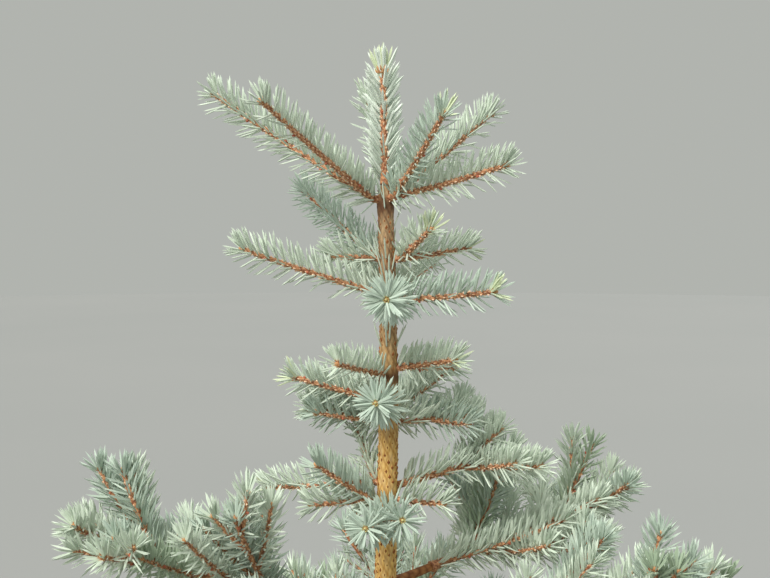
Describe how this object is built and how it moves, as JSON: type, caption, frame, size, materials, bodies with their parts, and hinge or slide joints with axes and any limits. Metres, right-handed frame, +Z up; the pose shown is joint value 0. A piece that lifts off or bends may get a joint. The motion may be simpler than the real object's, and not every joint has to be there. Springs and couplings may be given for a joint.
{
  "type": "blue spruce tree",
  "caption": "Young blue spruce rooted in the ground: an upright leader, open tiers of needled shoots above, and spreading boughs with fans of twigs below.",
  "frame": {"origin": "centre of the flat cut under the trunk, at ground level", "axes": "+Z up along the trunk, +X to the right and -Y towards the viewer of the picture"},
  "size_m": [1.0414, 1.0021, 1.3994],
  "materials": {
    "trunk_bark": "rough young bark with leaf pegs",
    "bough_bark": "pegged orange-brown twig bark",
    "needles": "waxy blue-green needles"
  },
  "bodies": {
    "root": {"bough_01": "bough_bark", "bough_02": "bough_bark", "bough_03": "bough_bark", "bough_04": "bough_bark", "bough_05": "bough_bark", "bough_06": "bough_bark", "bough_07": "bough_bark", "bough_08": "bough_bark", "bough_09": "bough_bark", "bough_10": "bough_bark", "bough_11": "bough_bark", "bough_12": "bough_bark", "bough_13": "bough_bark", "bough_14": "bough_bark", "bough_15": "bough_bark", "bough_16": "bough_bark", "bough_17": "bough_bark", "bough_18": "bough_bark", "bough_19": "bough_bark", "bough_20": "bough_bark", "leader_shoot": "needles", "mass_01": "needles", "mass_02": "needles", "mass_03": "needles", "mass_04": "needles", "mass_05": "needles", "mass_06": "needles", "mass_07": "needles", "mass_08": "needles", "mass_09": "needles", "mass_10": "needles", "mass_11": "needles", "mass_12": "needles", "mass_13": "needles", "mass_14": "needles", "mass_15": "needles", "mass_16": "needles", "mass_17": "needles", "mass_18": "needles", "mass_19": "needles", "mass_20": "needles", "tier1_back": "needles", "tier1_left": "needles", "tier1_right": "needles", "tier2_back": "needles", "tier2_front": "needles", "tier2_left": "needles", "tier2_left_back": "needles", "tier2_right": "needles", "tier3_back": "needles", "tier3_front": "needles", "tier3_front_left": "needles", "tier3_left": "needles", "tier3_right": "needles", "tier4_front": "needles", "tier4_left": "needles", "tier4_left_back": "needles", "tier4_right": "needles", "tier4_right_back": "needles", "trunk": "trunk_bark"}
  },
  "joints": []
}
